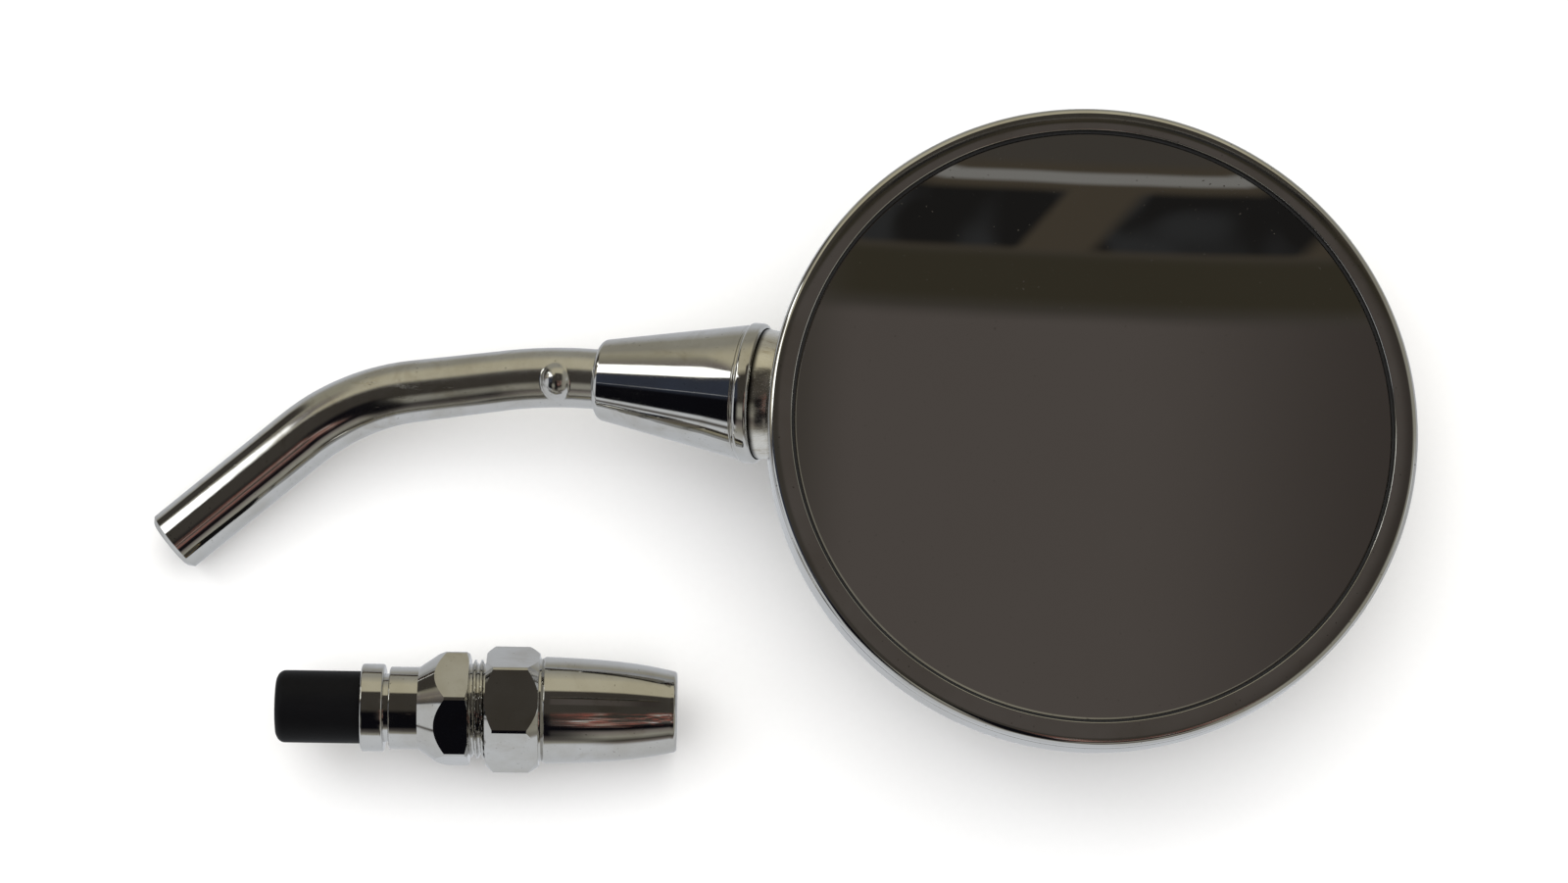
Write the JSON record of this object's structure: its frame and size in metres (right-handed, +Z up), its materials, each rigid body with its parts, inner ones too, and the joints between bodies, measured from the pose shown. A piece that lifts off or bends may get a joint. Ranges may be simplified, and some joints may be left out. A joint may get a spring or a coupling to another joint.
{
  "type": "round motorcycle bar-end mirror with its clamp",
  "caption": "Round chrome bar-end mirror for a motorcycle: ball-jointed head on a bent stem, lying beside the expanding clamp that fixes it in a handlebar end.",
  "frame": {"origin": "middle of the part's bounding box, on the bench it lies on", "axes": "+Z up out of the bench, +X from the stem's free end towards the mirror head, +Y towards the back of the bench"},
  "size_m": [0.1937, 0.1001, 0.0296],
  "materials": {
    "chrome": "polished chrome plate",
    "neck_chrome": "chrome rubbed dull by the seat ring",
    "mirror": "silvered convex glass",
    "rubber": "satin black",
    "gasket": "matt black",
    "foam": "closed-cell foam",
    "black_plastic": "moulded black",
    "nylon": "natural nylon",
    "steel": "zinc-plated steel",
    "spring_steel": "oiled spring steel",
    "dark_steel": "black oxide",
    "brass": "turned brass"
  },
  "bodies": {
    "arm": {"stem": "chrome", "cone_housing": "chrome", "seat_ring": "nylon", "disc_springs": "spring_steel", "clamp_body": "chrome", "end_collar": "chrome", "rubber_sleeve": "rubber"},
    "ball_stud": {"pivot_bolt": "dark_steel", "domed_washer": "brass", "thrust_washer": "steel", "lock_nut": "steel"},
    "ball_liner": {"ball_liner": "nylon"},
    "head": {"neck_cup": "neck_chrome", "back_shell": "chrome", "bezel_ring": "chrome", "mirror_glass": "mirror", "glass_gasket": "gasket", "foam_pad": "foam", "backing_plate": "black_plastic"},
    "collet": {"collet": "brass"},
    "clamp_nut": {"clamp_nut": "chrome"},
    "draw_bolt": {"draw_bolt": "dark_steel", "bolt_washer": "steel"},
    "expander_wedge": {"expander_wedge": "brass"}
  },
  "joints": [
    {"name": "head_spin", "type": "hinge", "parent": "arm", "child": "ball_stud", "pos_m": [-0.00223, 0.00722, 0.01691], "axis": [0.9838, -0.1208, 0.1328], "continuous": true},
    {"name": "head_tilt", "type": "hinge", "parent": "ball_stud", "child": "ball_liner", "pos_m": [-0.00223, 0.00722, 0.01691], "axis": [0.1219, 0.9925, 0], "range_deg": [-10, 10]},
    {"name": "head_pan", "type": "hinge", "parent": "ball_liner", "child": "head", "pos_m": [-0.00223, 0.00722, 0.01691], "axis": [-0.1318, 0.0162, 0.9911], "range_deg": [-12, 12]},
    {"name": "collet_slide", "type": "slide", "parent": "arm", "child": "collet", "axis": [-0.9976, 0, 0.0694], "range_m": [-0.001, 0.002]},
    {"name": "nut_turn", "type": "hinge", "parent": "collet", "child": "clamp_nut", "pos_m": [-0.04399, -0.04022, 0.00901], "axis": [-0.9976, 0, 0.0694], "range_deg": [-361, 721]},
    {"name": "draw_bolt_turn", "type": "hinge", "parent": "arm", "child": "draw_bolt", "pos_m": [-0.06294, -0.04022, 0.01033], "axis": [-0.9976, 0, 0.0694], "range_deg": [0, 1441]},
    {"name": "wedge_slide", "type": "slide", "parent": "arm", "child": "expander_wedge", "axis": [0.9976, 0, -0.0694], "range_m": [0, 0.0032], "deforming": ["rubber_sleeve"]}
  ],
  "couplings": [
    {"joint": "nut_turn", "follows": "collet_slide", "rad_per_m": 6283.2},
    {"joint": "draw_bolt_turn", "follows": "wedge_slide", "rad_per_m": 7854}
  ]
}
